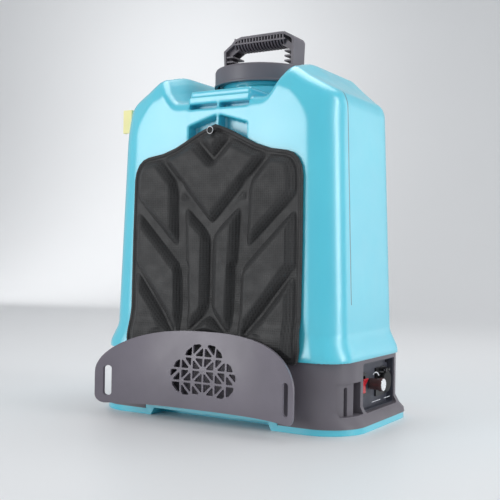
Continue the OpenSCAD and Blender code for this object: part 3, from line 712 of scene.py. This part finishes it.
clear_vinyl = moulded_plastic("clear_vinyl", (0.70, 0.74, 0.76), 0.25)
steel = metal("steel", (0.60, 0.61, 0.63), 0.32)
bright_disc = metal("bright_disc", (0.93, 0.94, 0.96), 0.24)
black_metal = metal("black_metal", (0.10, 0.10, 0.11), 0.35)

FINISHES = {
    "bottom_tray": (tank_material, 0.8),
    "tray_screws": (steel, 0.2),
    "base_housing": (grey_plastic, 1.0),
    "control_panel": (slate_plastic, 0.3),
    "panel_screws": (black_metal, 0.2),
    "switch_bezel": (black_plastic, 0.4),
    "rocker": (red_plastic, 0.5),
    "speed_pot": (steel, 0.2),
    "speed_knob": (knob_plastic, 0.4),
    "knob_disc": (bright_disc, 0.3),
    "charge_socket": (black_plastic, 0.4),
    "charge_flap": (rubber, 0.5),
    "flap_pin": (steel, 0.0),
    "battery_pack": (blue_plastic, 2.0),
    "battery_strap": (steel, 0.3),
    "control_board": (green_plastic, 0.1),
    "hv_module": (black_plastic, 1.0),
    "pump_bracket": (steel, 0.3),
    "pump_head": (black_plastic, 1.0),
    "motor_can": (steel, 0.6),
    "motor_shaft": (steel, 0.2),
    "suction_hose": (clear_vinyl, 0.0),
    "delivery_hose": (rubber, 0.0),
    "outlet_spigot": (black_plastic, 0.4),
    "tank_screws": (steel, 0.2),
    "tank_outlet": (black_plastic, 0.4),
    "suction_filter": (white_plastic, 0.3),
    "strainer_basket": (white_plastic, 0.3),
    "lid_gasket": (rubber, 0.3),
    "lid": (grey_plastic, 0.9),
    "vent_valve": (black_plastic, 0.3),
    "carry_handle": (grey_plastic, 0.5),
    "handle_screws": (steel, 0.2),
    "wand_clip": (yellow_plastic, 0.6),
    "cushion_button": (rubber, 0.8),
    "lumbar_plate": (plate_plastic, 1.2),
    "lumbar_brackets": (plate_plastic, 1.0),
    "lumbar_screws": (black_metal, 0.3),
}

for node_name, (finish_material, rounding) in FINISHES.items():
    finish_cad(node_name, finish_material, rounding)

make_eyelet_edge(steel)
make_panel_marks(matte_mark())

# ---------------------------------------------------------------- studio


SWEEP_REACH = 9000.0
SWEEP_BACK_Y = 3200.0
SWEEP_TOP_Z = 6000.0
SWEEP_R = 1400.0
SWEEP_STEPS = 24


def make_sweep(material):
    """Floor that curves up into the back wall."""
    profile = [(-SWEEP_REACH, 0.0)]
    for i in range(SWEEP_STEPS + 1):
        angle = math.pi / 2.0 * i / SWEEP_STEPS
        y = SWEEP_BACK_Y - SWEEP_R * (1.0 - math.sin(angle))
        profile.append((y, SWEEP_R * (1.0 - math.cos(angle))))
    profile.append((SWEEP_BACK_Y, SWEEP_TOP_Z))
    points = [(x, y, z) for y, z in profile for x in (-SWEEP_REACH, SWEEP_REACH)]
    faces = [[2 * i, 2 * i + 1, 2 * i + 3, 2 * i + 2] for i in range(len(profile) - 1)]
    sweep = mesh_object("studio_sweep", points, faces)
    sweep.data.materials.append(material)


def studio_surface(name, colour, roughness):
    """Matt studio paper with a trace of unevenness."""
    m = Nodes(name)
    tone = m.mix(m.span(m.noise(1.5, 2.0), 0.3, 0.7, 0.0, 1.0), tuple(c * 0.985 for c in colour), colour)
    m.set(Base_Color=tone, Roughness=roughness)
    return m.material


def area_light(name, place, aim, size, power):
    """A rectangular soft light, in metres and watts."""
    data = bpy.data.lights.new(name, "AREA")
    data.shape = "RECTANGLE"
    data.size, data.size_y = size
    data.energy = power
    light = bpy.data.objects.new(name, data)
    light.location = place
    light.rotation_euler = (Vector(aim) - Vector(place)).to_track_quat("-Z", "Y").to_euler()
    bpy.context.scene.collection.objects.link(light)
    return light


SWEEP_COLOUR = (0.780, 0.785, 0.795)
AIR_COLOUR = (0.94, 0.97, 1.0, 1.0)
AIR_STRENGTH = 0.56
LIGHT_AIM = (0.0, 0.0, 0.25)
LIGHTS = [
    ("front_left_softbox", (-1.1, -1.8, 0.62), LIGHT_AIM, (0.95, 1.4), 17.5),
    ("right_strip", (1.9, 0.1, 0.7), LIGHT_AIM, (0.45, 1.7), 14.0),
    ("rear_right_softbox", (1.45, 1.9, 0.7), LIGHT_AIM, (1.1, 1.6), 5.5),
    ("overhead", (0.1, 0.5, 2.3), LIGHT_AIM, (1.8, 1.4), 19.0),
    ("backdrop_wash", (-2.4, 1.7, 1.3), (-3.0, 3.2, 0.8), (1.4, 1.6), 16.0),
]


def make_studio():
    """Pale sweep, soft air light and the area lights."""
    make_sweep(studio_surface("sweep_tone", SWEEP_COLOUR, 0.45))
    world = bpy.data.worlds.new("studio_air")
    world.use_nodes = True
    air = world.node_tree.nodes["Background"]
    air.inputs["Color"].default_value = AIR_COLOUR
    air.inputs["Strength"].default_value = AIR_STRENGTH
    bpy.context.scene.world = world
    for light in LIGHTS:
        area_light(*light)


CAMERA_PLACE = (0.6349, -1.0673, 0.2206)
CAMERA_TURN = (31.0, -0.4, 0.9)
CAMERA_LENS = 62.34


def make_camera():
    """The photograph's view: from the cushion's front right, nearly level."""
    azimuth, pitch, roll = (math.radians(v) for v in CAMERA_TURN)
    forward = Vector(
        (-math.sin(azimuth) * math.cos(pitch), math.cos(azimuth) * math.cos(pitch), -math.sin(pitch))
    )
    right = Vector((math.cos(azimuth), math.sin(azimuth), 0.0))
    up = right.cross(forward)
    rolled_right = right * math.cos(roll) + up * math.sin(roll)
    rolled_up = up * math.cos(roll) - right * math.sin(roll)
    data = bpy.data.cameras.new("camera")
    data.sensor_width = 36.0
    data.lens = CAMERA_LENS
    data.clip_start, data.clip_end = 0.05, 50.0
    camera = bpy.data.objects.new("camera", data)
    turn = Matrix((rolled_right, rolled_up, -forward)).transposed().to_4x4()
    camera.matrix_world = Matrix.Translation(CAMERA_PLACE) @ turn
    bpy.context.scene.collection.objects.link(camera)
    bpy.context.scene.camera = camera


make_studio()
make_camera()
bpy.context.scene.view_settings.view_transform = "Standard"
